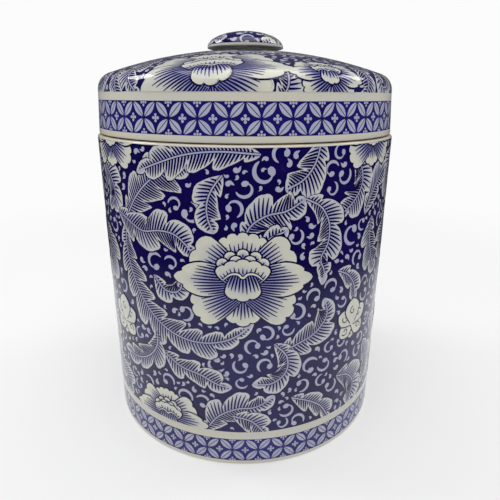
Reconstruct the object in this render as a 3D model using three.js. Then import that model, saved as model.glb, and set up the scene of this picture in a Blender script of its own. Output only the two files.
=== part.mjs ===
// A straight-sided porcelain canister with a domed, lift-off lid and a button knob.
// Millimetres, +Z up. The origin is the centre of the foot, on the surface it stands on.

import * as THREE from 'three';

// Canister body
const bodyRadius = 76;
const bodyHeight = 153.5;
const wallThickness = 5;
const floorThickness = 6;
const footRingWidth = 7;
const footRecess = 2.5;
const footEdgeRadius = 1.5;
const floorCornerRadius = 8;
const rimEdgeRadius = 1.5;

// Lid
const lidSetIn = 1;
const skirtHeight = 19.5;
const skirtDraft = 1.2;
const shoulderRadius = 8.5;
const domeRadius = 205;
const lidThickness = 5;
const lidCornerRadius = 5;
const seatEdgeRadius = 0.8;
const flangeDepth = 10;
const flangeThickness = 4;
const flangeEdgeRadius = 1.2;

// Knob
const knobRadius = 19.5;
const knobCrownHeight = 8.1;
const knobRimDrop = 0.6;
const neckRadius = 13;
const neckHeight = 0.4;

// Clearances
const seatGap = 0.4;
const flangeClearance = 1.2;
const knobGap = 0.3;

// Fineness of the turned surfaces
const turnSteps = 64;
const domeSteps = 8;
const cornerSteps = 4;
const crownSteps = 8;

const quarter = Math.PI / 2;

// Points along an arc about (radius, height), from one angle to another, both ends included.
function arc(radius, height, arcRadius, from, to, steps) {
  return ellipse(radius, height, arcRadius, arcRadius, from, to, steps);
}

function ellipse(radius, height, wide, tall, from, to, steps) {
  const points = [];
  for (let step = 0; step <= steps; step += 1) {
    const angle = from + (to - from) * step / steps;
    points.push(new THREE.Vector2(radius + wide * Math.cos(angle), height + tall * Math.sin(angle)));
  }
  return points;
}

function point(radius, height) {
  return new THREE.Vector2(radius, height);
}

// A solid turned about +Z. The profile runs from the axis, round the outside, and back to the axis.
function turned(name, profile, color) {
  const geometry = new THREE.LatheGeometry(profile, turnSteps);
  geometry.rotateX(quarter);
  const material = new THREE.MeshStandardMaterial({ color, roughness: 0.12, metalness: 0 });
  const mesh = new THREE.Mesh(geometry, material);
  mesh.name = name;
  return mesh;
}

function canisterBody() {
  const boreRadius = bodyRadius - wallThickness;
  const footInside = bodyRadius - footEdgeRadius - footRingWidth;
  const floorTop = footRecess + floorThickness;
  return turned('canister_body', [
    point(0, footRecess),
    point(footInside - footRecess, footRecess),
    point(footInside, 0),
    ...arc(bodyRadius - footEdgeRadius, footEdgeRadius, footEdgeRadius, -quarter, 0, cornerSteps),
    ...arc(bodyRadius - rimEdgeRadius, bodyHeight - rimEdgeRadius, rimEdgeRadius, 0, quarter, cornerSteps),
    ...arc(boreRadius + rimEdgeRadius, bodyHeight - rimEdgeRadius, rimEdgeRadius, quarter, 2 * quarter, cornerSteps),
    ...arc(boreRadius - floorCornerRadius, floorTop + floorCornerRadius, floorCornerRadius,
      0, -quarter, cornerSteps),
    point(0, floorTop),
  ], 0x64647d);
}

// Half of the lid's section: a skirt that draws in slightly as it rises, a shoulder arc, and one
// large arc over the top.
const seatHeight = bodyHeight + seatGap;
const skirtRadius = bodyRadius - lidSetIn;
const shoulderHeight = seatHeight + skirtHeight;
const shoulderCentre = skirtRadius - skirtDraft - shoulderRadius;
const domeCentre = shoulderHeight
  - Math.sqrt((domeRadius - shoulderRadius) ** 2 - shoulderCentre ** 2);
const shoulderAngle = Math.atan2(shoulderHeight - domeCentre, shoulderCentre);

// The top is flat where the knob stands.
const landRadius = neckRadius;
const landHeight = domeCentre + Math.sqrt(domeRadius ** 2 - landRadius ** 2);
const landAngle = Math.acos(landRadius / domeRadius);

function lid() {
  const flangeRadius = bodyRadius - wallThickness - flangeClearance;
  const flangeInside = flangeRadius - flangeThickness;
  const flangeFoot = seatHeight - flangeDepth;
  const innerDome = domeRadius - lidThickness;
  const cornerCentre = flangeInside - lidCornerRadius;
  const cornerReach = innerDome - lidCornerRadius;
  const cornerHeight = domeCentre + Math.sqrt(cornerReach ** 2 - cornerCentre ** 2);
  const cornerAngle = Math.acos(cornerCentre / cornerReach);
  return turned('lid', [
    ...arc(0, domeCentre, innerDome, quarter, cornerAngle, domeSteps),
    ...arc(cornerCentre, cornerHeight, lidCornerRadius, cornerAngle, 0, cornerSteps).slice(1),
    ...arc(flangeInside + flangeEdgeRadius, flangeFoot + flangeEdgeRadius, flangeEdgeRadius,
      2 * quarter, 3 * quarter, cornerSteps),
    ...arc(flangeRadius - flangeEdgeRadius, flangeFoot + flangeEdgeRadius, flangeEdgeRadius,
      -quarter, 0, cornerSteps),
    point(flangeRadius, seatHeight),
    ...arc(skirtRadius - seatEdgeRadius, seatHeight + seatEdgeRadius, seatEdgeRadius, -quarter, 0, cornerSteps),
    ...arc(shoulderCentre, shoulderHeight, shoulderRadius, 0, shoulderAngle, cornerSteps),
    ...arc(0, domeCentre, domeRadius, shoulderAngle, landAngle, domeSteps).slice(1),
    point(0, landHeight),
  ], 0x8b8aa3);
}

// The crown is half an ellipse, and its rim turns under to a short neck.
function knob() {
  const neckFoot = landHeight + knobGap;
  const rimBottom = neckFoot + neckHeight;
  const rimHeight = rimBottom + knobRimDrop;
  const overhang = knobRadius - neckRadius;
  return turned('knob', [
    point(0, neckFoot),
    point(neckRadius, neckFoot),
    ...ellipse(knobRadius - overhang, rimHeight, overhang, knobRimDrop, -quarter, 0, cornerSteps),
    ...ellipse(0, rimHeight, knobRadius, knobCrownHeight, 0, quarter, crownSteps).slice(1),
  ], 0x7576a0);
}

const group = new THREE.Group();
group.add(canisterBody(), lid(), knob());

export default group;
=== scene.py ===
"""A lidded porcelain canister with an underglaze cobalt print of peonies and long leaves."""

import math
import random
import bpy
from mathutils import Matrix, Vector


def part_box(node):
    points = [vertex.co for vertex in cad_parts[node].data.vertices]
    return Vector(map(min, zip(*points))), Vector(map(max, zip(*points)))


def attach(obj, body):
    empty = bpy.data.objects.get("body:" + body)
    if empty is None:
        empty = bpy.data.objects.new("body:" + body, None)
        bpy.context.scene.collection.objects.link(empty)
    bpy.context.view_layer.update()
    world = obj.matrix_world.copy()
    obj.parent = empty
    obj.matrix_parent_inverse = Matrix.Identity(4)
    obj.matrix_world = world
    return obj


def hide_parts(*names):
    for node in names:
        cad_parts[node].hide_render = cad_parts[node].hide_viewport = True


bl_info = {
    "name": "Porcelain Canister",
    "version": (1, 0, 0),
    "blender": (4, 5, 0),
    "location": "3D View > Sidebar > Canister",
    "description": "Turns a lidded porcelain canister, glazes it and prints it in cobalt",
    "category": "Object",
}

import bmesh
import bpy
from mathutils import Vector

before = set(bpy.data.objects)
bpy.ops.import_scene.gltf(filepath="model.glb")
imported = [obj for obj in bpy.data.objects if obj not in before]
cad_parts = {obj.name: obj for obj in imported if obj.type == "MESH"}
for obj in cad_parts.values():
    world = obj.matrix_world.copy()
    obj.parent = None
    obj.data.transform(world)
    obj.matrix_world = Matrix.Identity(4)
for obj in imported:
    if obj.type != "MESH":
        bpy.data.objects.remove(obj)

MM = 0.001
QUARTER = math.pi / 2

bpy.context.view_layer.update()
_, BODY_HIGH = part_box("canister_body")
LID_LOW, LID_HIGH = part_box("lid")
KNOB_LOW, KNOB_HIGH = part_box("knob")


# ---------------------------------------------------------------- settings


def number(name, description, default, **kind):
    return bpy.props.FloatProperty(name=name, description=description, default=default, **kind)


def length(name, description, millimetres):
    return number(name, description, millimetres * MM, min=0, unit="LENGTH", precision=5)


def tilt(name, description, degrees):
    return number(name, description, math.radians(degrees), subtype="ANGLE")


def count(name, description, default, least=0):
    return bpy.props.IntProperty(name=name, description=description, default=default, min=least)


def colour(name, description, *default):
    return bpy.props.FloatVectorProperty(
        name=name, description=description, default=default, size=3, min=0, max=1, subtype="COLOR"
    )


class CanisterShape(bpy.types.PropertyGroup):
    """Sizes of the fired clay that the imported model's boxes don't give."""

    wall: length("Wall", "Thickness of the canister's wall", 5)
    floor: length("Floor", "Thickness of the canister's floor", 6)
    foot_ring: length("Foot ring", "Width of the flat ring it stands on", 7)
    foot_recess: length("Foot recess", "Depth under the floor inside the foot ring", 2.5)
    foot_edge: length("Foot edge", "Radius of the foot's outer edge", 1.5)
    floor_corner: length("Floor corner", "Radius between the floor and the wall inside", 8)
    rim_edge: length("Rim edge", "Radius of the rim's two edges", 1.5)
    skirt: length("Skirt", "Height of the lid's upright side", 19.5)
    draft: length("Skirt draft", "How much the skirt draws in as it rises", 1.2)
    shoulder: length("Shoulder", "Radius between the lid's side and its dome", 8.5)
    dome: length("Dome", "Radius of the lid's dome", 205)
    lid_wall: length("Lid thickness", "Thickness of the lid's dome", 5)
    lid_corner: length("Lid corner", "Radius inside the lid", 5)
    seat_edge: length("Seat edge", "Radius of the lid's lower outer edge", 0.8)
    flange_depth: length("Flange depth", "How far the flange goes down inside the rim", 10)
    flange_wall: length("Flange thickness", "Thickness of the lid's flange", 4)
    flange_edge: length("Flange edge", "Radius of the flange's lower edges", 1.2)
    flange_gap: length("Flange clearance", "Gap between the flange and the wall", 1.2)
    neck: length("Knob neck", "Radius of the knob's neck", 13)
    crown: length("Knob crown", "Height of the knob's crown above its rim", 8.1)
    tuck: length("Knob tuck", "How far the knob's rim turns under", 0.6)
    relief: length("Print relief", "Height of the whole stack of print layers", 0.3)
    turn_steps: count("Steps round", "Faces round a turned piece", 320, 32)


class CanisterPrint(bpy.types.PropertyGroup):
    """Levels and proportions of the cobalt print."""

    foot_band_low: length("Foot band bottom", "Height of the foot border's lower edge", 2.8)
    foot_band_high: length("Foot band top", "Height of the foot border's upper edge", 15.5)
    field_low: length("Field bottom", "Height where the flowered field starts", 19.7)
    rim_line: length("Rim line", "Height of the white line under the rim", 1)
    lid_band_low: length("Lid band bottom", "The lid border's lower edge above the seat", 2.7)
    lid_band_high: length("Lid band top", "The lid border's upper edge above the seat", 15.4)
    lid_field_low: length("Lid field bottom", "Where the lid's flowers start above the seat", 18.8)
    layer: length("Layer", "Height of one print layer over the one below", 0.0075)
    layer_skin: length("Layer thickness", "Thickness of one printed layer", 0.002)
    outline: length("Outline", "Width of the dark line round each motif", 0.5)
    hatch: length("Hatch pitch", "Distance between the veins of a leaf", 1.45)
    repeats: count("Border repeats", "Cells in a border round the wall", 38, 4)
    seed: count("Seed", "Seed of the small fillers", 7)


class CanisterColours(bpy.types.PropertyGroup):
    """Colours of the glaze, the clay and the cobalt."""

    glaze: colour("Glaze", "White porcelain under clear glaze", 0.67, 0.64, 0.55)
    clay: colour("Bare clay", "Unglazed clay on the foot ring and the rim", 0.44, 0.34, 0.22)
    field: colour("Field cobalt", "Deep cobalt of the flowered field", 0.005, 0.0012, 0.088)
    border: colour("Border cobalt", "Brighter cobalt of the borders", 0.010, 0.005, 0.17)
    leaf: colour("Leaf", "Pale ground of the leaves", 0.63, 0.63, 0.62)
    petal: colour("Petal", "Cream of the petals", 0.72, 0.71, 0.60)
    lattice: colour("Lattice", "Pale lavender of the borders and curls", 0.47, 0.48, 0.60)
    wash: colour("Wash", "Mid-blue wash at a petal's root", 0.17, 0.18, 0.50)
    line: colour("Line", "Cobalt of veins and outlines", 0.005, 0.002, 0.078)


class CanisterStage(bpy.types.PropertyGroup):
    """The camera, the lights and the floor."""

    eye_distance: length("Eye distance", "Camera's distance in front of the axis", 247.7)
    eye_height: length("Eye height", "Camera's height above the floor", 171)
    lens: number("Lens", "Focal length in mm", 32.05)
    pitch: tilt("Pitch", "How far the camera looks down", 19.05)
    yaw: tilt("Yaw", "How far the camera looks to the right", 0.566)
    roll: tilt("Roll", "How far the camera leans", -0.215)
    floor_colour: colour("Floor", "Pale floor", 0.9, 0.9, 0.9)
    floor_radius: length("Floor radius", "Radius of the floor", 6000)
    floor_near: length("Floor's lit radius", "Radius within which the floor takes shadows", 200)
    floor_glow: number("Floor glow", "How much of the floor's shadows is filled in", 0.4)
    backdrop: colour("Backdrop", "Pale surround that the camera sees", 0.97, 0.97, 0.97)
    card_inside: length("Card's inner radius", "Where the dark reflection card starts", 160)
    card_dark: number("Card darkness", "How much of the floor's reflection the card stops", 0.95)
    gloss_dim: number("Reflected dimming", "How much dimmer the surround looks in the glaze", 0.65)
    ambient: number("Ambient", "Strength of the soft light from all round", 0.36)
    top_light: number("Top light", "Power of the overhead light", 8, unit="POWER")
    left_light: number("Left light", "Power of the light at the left", 2.6, unit="POWER")
    right_light: number("Right light", "Power of the light at the right", 1.6, unit="POWER")


# ---------------------------------------------------------------- small helpers


def settings():
    scene = bpy.context.scene
    return scene.canister_shape, scene.canister_print, scene.canister_colours


def arc(centre_r, centre_z, radius, start, end, steps, tall=None):
    """Points (radius, height) on an arc, both ends included. tall makes it elliptic."""
    tall = tall or radius
    points = []
    for step in range(steps + 1):
        angle = start + (end - start) * step / steps
        points.append((centre_r + radius * math.cos(angle), centre_z + tall * math.sin(angle)))
    return points


def polar(x, y, radius, angle):
    """A place at that distance and bearing from another."""
    return x + radius * math.cos(angle), y + radius * math.sin(angle)


def turned_about(x, y, degrees):
    way = math.radians(degrees)
    return x * math.cos(way) - y * math.sin(way), x * math.sin(way) + y * math.cos(way)


def line_length(points):
    return sum(math.dist(a, b) for a, b in zip(points, points[1:]))


def piece_from(data, name):
    piece = bpy.data.objects.new(name, data)
    bpy.context.scene.collection.objects.link(piece)
    return piece


def place(piece, body, slot, *replaced):
    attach(piece, body)
    if replaced:
        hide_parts(*replaced)


# ---------------------------------------------------------------- node helpers


def in_use(sockets, name=None):
    """The first socket that the node's settings leave open, of that name if one is given."""
    return next(socket for socket in sockets if socket.enabled and name in (None, socket.name))


class Graph:
    """Adds nodes to a tree and links them. A value is a socket, a number or a vector."""

    def __init__(self, tree):
        self.tree = tree

    def node(self, kind, inputs=None, **fields):
        node = self.tree.nodes.new(kind)
        for field, value in fields.items():
            setattr(node, field, value)
        for name, value in (inputs or {}).items():
            self.feed(node.inputs[name] if isinstance(name, int) else in_use(node.inputs, name), value)
        return node

    def result(self, kind, inputs=None, **fields):
        """The first output of a new node."""
        return in_use(self.node(kind, inputs, **fields).outputs)

    def feed(self, socket, value):
        if isinstance(value, bpy.types.NodeSocket):
            self.tree.links.new(value, socket)
        else:
            socket.default_value = value

    def math(self, operation, *values):
        return self.result("ShaderNodeMath", dict(enumerate(values)), operation=operation)

    def times(self, *values):
        return self.math("MULTIPLY", *values)

    def vector(self, x, y, z):
        return self.result("ShaderNodeCombineXYZ", {"X": x, "Y": y, "Z": z})

    def split(self, value):
        return self.node("ShaderNodeSeparateXYZ", {"Vector": value}).outputs

    def off_axis(self, spot):
        """How far a place is from the upright axis."""
        squares = (self.times(spot[axis], spot[axis]) for axis in ("X", "Y"))
        return self.math("SQRT", self.math("ADD", *squares))

    def step(self, value, low, high):
        """0 below low, 1 above high, smooth between."""
        return self.result("ShaderNodeMapRange", {"Value": value, "From Min": low, "From Max": high},
                           interpolation_type="SMOOTHSTEP")

    def blend(self, factor, *colours):
        first, second = (c if isinstance(c, bpy.types.NodeSocket) else (*c, 1) for c in colours)
        return self.result("ShaderNodeMix", {"Factor": factor, "A": first, "B": second},
                           data_type="RGBA")


def geometry_tree(name, sockets):
    """A new geometry tree, its graph, its group input's outputs and its group output's input."""
    tree = bpy.data.node_groups.new(name, "GeometryNodeTree")
    for label, kind in sockets.items():
        tree.interface.new_socket(label, in_out="INPUT", socket_type="NodeSocket" + kind)
    tree.interface.new_socket("Geometry", in_out="OUTPUT", socket_type="NodeSocketGeometry")
    graph = Graph(tree)
    return tree, graph, graph.node("NodeGroupInput").outputs, graph.node("NodeGroupOutput").inputs[0]


def grown(name, source, tree, values):
    """A plain mesh object made of what the tree makes of the source, with those input values."""
    modifier = source.modifiers.new(tree.name, "NODES")
    modifier.node_group = tree
    for item in tree.interface.items_tree:
        if item.in_out == "INPUT" and item.name in values:
            modifier[item.identifier] = values[item.name]
    depsgraph = bpy.context.evaluated_depsgraph_get()
    depsgraph.update()
    mesh = bpy.data.meshes.new_from_object(source.evaluated_get(depsgraph))
    mesh.name = name
    source.modifiers.clear()
    bpy.data.objects.remove(source)
    if not mesh.polygons:
        raise RuntimeError(f"{name} came out with no faces")
    return piece_from(mesh, name)


CREASE = math.radians(35)


def smoothed(graph, geometry):
    """Smooth shading that stays crisp at the creases, with every copy made real."""
    smooth = graph.result("GeometryNodeSetShadeSmooth", {"Geometry": geometry, "Shade Smooth": True})
    sharp = graph.math("GREATER_THAN", graph.result("GeometryNodeInputMeshEdgeAngle"), CREASE)
    crisp = graph.result("GeometryNodeSetShadeSmooth", {
        "Geometry": smooth, "Selection": sharp, "Shade Smooth": False}, domain="EDGE")
    return graph.result("GeometryNodeRealizeInstances", {"Geometry": crisp})


def round_the_axis(graph, radius, angle, height):
    """A place at that radius and height, turned from the front about the upright axis."""
    across = graph.times(radius, graph.math("SINE", angle))
    depth = graph.times(radius, graph.math("COSINE", angle))
    return graph.vector(across, graph.times(depth, -1.0), height)


# ---------------------------------------------------------------- the turned pieces

BANDS = ("white", "clay", "field", "border")


def turning_tree():
    """Turns a profile, drawn as a chain of points, into a closed solid with its bands' glazes."""
    tree, graph, given, result = geometry_tree("Turned Piece", {
        "Profile": "Geometry", "Steps round": "Int", "Weld": "Float",
        **{f"{band} glaze": "Material" for band in BANDS},
    })
    profile, steps = given["Profile"], given["Steps round"]
    rows = graph.node("GeometryNodeAttributeDomainSize", {"Geometry": profile}).outputs["Point Count"]
    grid = graph.result("GeometryNodeMeshGrid", {
        "Vertices X": graph.math("ADD", steps, 1), "Vertices Y": rows})
    index = graph.result("GeometryNodeInputIndex")
    row = graph.math("FLOORED_MODULO", index, rows)
    column = graph.math("FLOOR", graph.math("DIVIDE", graph.math("ADD", index, 0.5), rows))
    spot = graph.split(graph.result("GeometryNodeSampleIndex", {
        "Geometry": profile, "Index": row, "Value": graph.result("GeometryNodeInputPosition"),
    }, data_type="FLOAT_VECTOR"))
    angle = graph.math("DIVIDE", graph.times(column, math.tau), steps)
    turned = graph.result("GeometryNodeSetPosition", {
        "Geometry": grid, "Position": round_the_axis(graph, spot["X"], angle, spot["Z"])})

    band = graph.result("GeometryNodeInputNamedAttribute", {"Name": "band"}, data_type="FLOAT")
    face_row = graph.math("FLOORED_MODULO", index, graph.math("SUBTRACT", rows, 1))
    band_of = graph.result("GeometryNodeSampleIndex", {
        "Geometry": profile, "Index": face_row, "Value": band}, domain="EDGE")
    marked = graph.result("GeometryNodeStoreNamedAttribute", {
        "Geometry": turned, "Name": "band", "Value": band_of}, domain="FACE")
    welded = graph.result("GeometryNodeMergeByDistance", {
        "Geometry": marked, "Distance": given["Weld"]})
    geometry = smoothed(graph, welded)
    for rank, name in enumerate(BANDS):
        chosen = graph.math("COMPARE", band, float(rank), 0.5)
        geometry = graph.result("GeometryNodeSetMaterial", {
            "Geometry": geometry, "Selection": chosen, "Material": given[f"{name} glaze"]})
    graph.feed(result, geometry)
    return tree


def profile_mesh(name, stretches):
    """A chain of points (radius, height); each stretch is (points, band of the edges up to its end)."""
    points, bands = [], []
    for stretch, band in stretches:
        for point in stretch:
            if points and math.dist(points[-1], point) < 1e-7:
                continue
            if points:
                bands.append(float(BANDS.index(band)))
            points.append(point)
    mesh = bpy.data.meshes.new(name)
    edges = [(i, i + 1) for i in range(len(points) - 1)]
    mesh.from_pydata([(r, 0, z) for r, z in points], edges, [])
    mesh.attributes.new("band", "FLOAT", "EDGE").data.foreach_set("value", bands)
    return mesh


def turn_piece(name, stretches, steps, glazes):
    source = piece_from(profile_mesh(name, stretches), name + "_profile")
    tree = bpy.data.node_groups.get("Turned Piece") or turning_tree()
    values = {f"{band} glaze": glazes[band] for band in BANDS}
    return grown(name, source, tree, {"Steps round": steps, "Weld": 1e-6, **values})


def body_stretches(shape, pattern):
    """The canister's section, from the middle of its underside round to the middle of its floor."""
    outer, bore = BODY_HIGH.x - shape.relief, BODY_HIGH.x - shape.wall
    top, field_low = BODY_HIGH.z, pattern.field_low
    edge, recess, corner = shape.foot_edge, shape.foot_recess, shape.floor_corner
    ring_inside = BODY_HIGH.x - edge - shape.foot_ring
    floor_top = recess + shape.floor
    rim, bare = shape.rim_edge, math.radians(60)
    rim_low, field = top - rim, top - pattern.rim_line - field_low
    return [
        ([(ring_inside * k / 12, recess) for k in range(12)]
         + arc(ring_inside - recess, 0, recess, QUARTER, 0, 6), "white"),
        ([(outer - edge, 0)], "clay"),
        (arc(outer - edge, edge, edge, -QUARTER, 0, 8) + [(outer, pattern.foot_band_low)], "white"),
        ([(outer, pattern.foot_band_high)], "border"),
        ([(outer, field_low)], "white"),
        ([(outer, field_low + field * k / 24) for k in range(1, 25)], "field"),
        (arc(outer - rim, rim_low, rim, 0.35, bare, 6), "white"),
        (arc(outer - rim, rim_low, rim, bare, QUARTER, 4)
         + arc(bore + rim, rim_low, rim, QUARTER, 2 * QUARTER - bare, 4), "clay"),
        (arc(bore + rim, rim_low, rim, 2 * QUARTER - bare, 2 * QUARTER, 6)
         + arc(bore - corner, floor_top + corner, corner, 0, -QUARTER, 12)
         + [((bore - corner) * k / 12, floor_top) for k in range(11, -1, -1)], "white"),
    ]


def dome_measures(shape):
    """Heights of the dome's centre, seat and shoulder, the shoulder's centre and the meeting angle."""
    seat = LID_LOW.z + shape.flange_depth
    shoulder_height = seat + shape.skirt
    shoulder_centre = LID_HIGH.x - shape.draft - shape.shoulder
    reach = shape.dome - shape.shoulder
    centre = shoulder_height - math.sqrt(reach ** 2 - shoulder_centre ** 2)
    meet = math.atan2(shoulder_height - centre, shoulder_centre)
    return centre, seat, shoulder_height, shoulder_centre, meet


def skirt_point(shape, above_seat, lowered):
    """A point of the lid's side, which draws in as it rises."""
    seat = LID_LOW.z + shape.flange_depth
    return LID_HIGH.x - shape.draft * above_seat / shape.skirt - lowered, seat + above_seat


def lid_outside(shape, lowered):
    """The lid's outer line from its seat up to the middle of its top, sunk by lowered."""
    centre, _, shoulder_height, shoulder_centre, meet = dome_measures(shape)
    return [
        skirt_point(shape, 0, lowered),
        *arc(shoulder_centre, shoulder_height, shape.shoulder - lowered, 0, meet, 24),
        *arc(0, centre, shape.dome - lowered, meet, QUARTER, 48)[1:],
    ]


def lid_stretches(shape, pattern):
    """The lid's section, from the middle of its inside round to the middle of its top."""
    centre, seat, *_ = dome_measures(shape)
    flange = BODY_HIGH.x - shape.wall - shape.flange_gap
    inside = flange - shape.flange_wall
    inner, corner = shape.dome - shape.lid_wall, shape.lid_corner
    corner_centre = inside - corner
    corner_height = centre + math.sqrt((inner - corner) ** 2 - corner_centre ** 2)
    corner_angle = math.acos(corner_centre / (inner - corner))
    edge, seat_edge, relief = shape.flange_edge, shape.seat_edge, shape.relief
    foot, skirt = LID_LOW.z + edge, LID_HIGH.x - relief - seat_edge
    return [
        (arc(0, centre, inner, QUARTER, corner_angle, 24)
         + arc(corner_centre, corner_height, corner, corner_angle, 0, 8)
         + arc(inside + edge, foot, edge, 2 * QUARTER, 3 * QUARTER, 6)
         + arc(flange - edge, foot, edge, -QUARTER, 0, 6) + [(flange, seat)], "white"),
        ([(skirt, seat)], "clay"),
        (arc(skirt, seat + seat_edge, seat_edge, -QUARTER, 0, 6)
         + [skirt_point(shape, pattern.lid_band_low, relief)], "white"),
        ([skirt_point(shape, pattern.lid_band_high, relief)], "border"),
        ([skirt_point(shape, pattern.lid_field_low, relief)], "white"),
        (lid_outside(shape, relief)[1:], "field"),
    ]


def knob_outside(shape, lowered):
    """The knob's crown from its rim up to its middle, sunk by lowered."""
    return arc(0, KNOB_HIGH.z - shape.crown, KNOB_HIGH.x - lowered, 0, QUARTER, 24,
               tall=shape.crown - lowered)


# The steps of the crown's lower edge that stay white.
KNOB_WHITE_STEPS = 2


def knob_stretches(shape):
    """The knob's section: a neck that runs into the lid's glaze, a tucked rim and a crown."""
    neck, rim_height = shape.neck, KNOB_HIGH.z - shape.crown
    overhang = KNOB_HIGH.x - shape.relief - neck
    crown = knob_outside(shape, shape.relief)
    sunk, fillet = 0.5 * MM, 1.2 * MM
    low = KNOB_LOW.z - sunk
    return [
        ([(0, low), (neck + fillet, low), (neck + fillet * 0.35, low + sunk),
          (neck, rim_height - shape.tuck)]
         + arc(neck, rim_height, overhang, -QUARTER, 0, 8, tall=shape.tuck)
         + crown[:KNOB_WHITE_STEPS + 1], "white"),
        (crown[KNOB_WHITE_STEPS:], "field"),
    ]


# ---------------------------------------------------------------- the print's flat motifs


class Sheet:
    """Flat shapes of one glaze, in millimetres, before they are wrapped on a piece.

    The height of a point counts print layers. Its wash goes from 1 at a motif's root to 0 at its
    edge, and its tone is one random number for each motif.
    """

    def __init__(self):
        self.points, self.faces, self.wash, self.tone = [], [], [], []

    def grid(self, rows, level, tone):
        """Adds a grid of faces. Rows hold (x, y, wash)."""
        first, wide = len(self.points), len(rows[0])
        for x, y, wash in (spot for row in rows for spot in row):
            self.points.append((x, y, level))
            self.wash.append(wash)
            self.tone.append(tone)
        for i in range(len(rows) - 1):
            for j in range(wide - 1):
                corner = first + i * wide + j
                self.faces.append((corner, corner + 1, corner + wide + 1, corner + wide))

    def mesh(self, name, layer, limit):
        """The shapes as a mesh in metres, facing up. limit moves a place back inside the field."""
        kept, places, inside = [], [], []
        for x, y, level in self.points:
            near_x, near_y = limit(x, y)
            inside.append((near_x, near_y) == (x, y))
            places.append((near_x * MM, near_y * MM, level * layer))
        for face in self.faces:
            if not any(inside[corner] for corner in face):
                continue
            around = [places[corner] for corner in face]
            area = sum(a[0] * b[1] - a[1] * b[0] for a, b in zip(around, around[1:] + around[:1]))
            if abs(area) > 1e-11:
                kept.append(face if area > 0 else face[::-1])
        mesh = bpy.data.meshes.new(name)
        mesh.from_pydata(places, [], kept)
        for field, values in (("wash", self.wash), ("tone", self.tone)):
            mesh.attributes.new(field, "FLOAT", "POINT").data.foreach_set("value", values)
        work = bmesh.new()
        work.from_mesh(mesh)
        loose = [vertex for vertex in work.verts if not vertex.link_faces]
        bmesh.ops.delete(work, geom=loose, context="VERTS")
        work.to_mesh(mesh)
        work.free()
        return mesh


def finer(rows, longest):
    """The same grid, split until no face is longer than longest(x, y) where it lies."""
    for _ in range(2):
        split = [rows[0]]
        for before, after in zip(rows, rows[1:]):
            pairs = list(zip(before, after))
            parts = max(1, *(math.ceil(math.dist(a[:2], b[:2]) / longest(*a[:2])) for a, b in pairs))
            for part in range(1, parts + 1):
                split.append([tuple(p + (q - p) * part / parts for p, q in zip(a, b))
                              for a, b in pairs])
        rows = list(zip(*split))
    return rows


class Design:
    """A print's sheets, and which whole millimetres are already drawn on.

    A motif on layer n puts its dark outline, its pale body and its dark lines one over another.
    longest(x, y) is the longest face that still follows the piece's curve at a place, and
    line_share is how much shorter a line's faces are.
    """

    KINDS = ("outline", "leaf", "petal", "curl", "line")
    BODY, LINE, STACK = 1, 2, 3

    def __init__(self, pattern, seed, longest, line_share=1.0):
        self.sheets = {kind: Sheet() for kind in self.KINDS}
        self.longest, self.line_share = longest, line_share
        self.outline = pattern.outline / MM
        self.hatch = pattern.hatch / MM
        self.layer = pattern.layer
        self.chance = random.Random(seed)
        self.taken = set()
        self.drawn = 0

    def next_layer(self, layer):
        """A layer a hair above the last motif's, so that no two motifs lie in one plane."""
        self.drawn += 1
        return layer * self.STACK + 0.013 * self.drawn % 0.3

    def body(self, kind, rows, outlines, base, tone):
        """A motif's pale body, and the strips of dark that show past its edge."""
        rows = finer(rows, self.longest)
        self.sheets[kind].grid(rows, base + self.BODY, tone)
        for strip in outlines:
            self.sheets["outline"].grid(finer(strip, self.longest), base, tone)
        self.taken.update((round(x), round(y)) for row in rows for x, y, _ in row)

    def stroke(self, places, halves, base):
        """A thin dark line with the given half widths."""
        rows = finer(stroke_rows(places, halves, 1),
                     lambda x, y: self.longest(x, y) * self.line_share)
        self.sheets["line"].grid(rows, base + self.LINE, 0.5)

    def clear(self, x, y, radius):
        """Whether nothing is drawn within the radius of a place."""
        steps = range(-int(radius) - 1, int(radius) + 2)
        return not any((round(x) + i, round(y) + j) in self.taken
                       for i in steps for j in steps if math.hypot(i, j) <= radius)


def left_of(way):
    return Vector((-way.y, way.x))


def stroke_rows(places, halves, columns):
    """Rows across a line of places, each as wide as twice its half width."""
    rows = []
    for k, (spot, half) in enumerate(zip(places, halves)):
        way = (places[min(k + 1, len(places) - 1)] - places[max(k - 1, 0)]).normalized()
        rows.append([(*(spot + left_of(way) * half * (2 * column / columns - 1)), 0.0)
                     for column in range(columns + 1)])
    return rows


def smooth_line(points, count=None, step=1.0):
    """A Catmull-Rom line through the points as evenly spaced places, and its whole length."""
    ends = [Vector(p) for p in points]
    ends = [2 * ends[0] - ends[1], *ends, 2 * ends[-1] - ends[-2]]
    fine = []
    for a, b, c, d in zip(ends, ends[1:], ends[2:], ends[3:]):
        for k in range(16):
            t = k / 16
            fine.append(0.5 * (2 * b + (c - a) * t + (2 * a - 5 * b + 4 * c - d) * t * t
                               + (3 * b - a - 3 * c + d) * t ** 3))
    fine.append(ends[-2])
    travelled = [0.0]
    for a, b in zip(fine, fine[1:]):
        travelled.append(travelled[-1] + (b - a).length)
    total = travelled[-1]
    count = count or max(4, round(total / step))
    places, at = [], 0
    for k in range(count + 1):
        goal = total * k / count
        while at < len(fine) - 2 and travelled[at + 1] < goal:
            at += 1
        share = (goal - travelled[at]) / max(travelled[at + 1] - travelled[at], 1e-9)
        places.append(fine[at].lerp(fine[at + 1], min(share, 1)))
    return places, total


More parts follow.
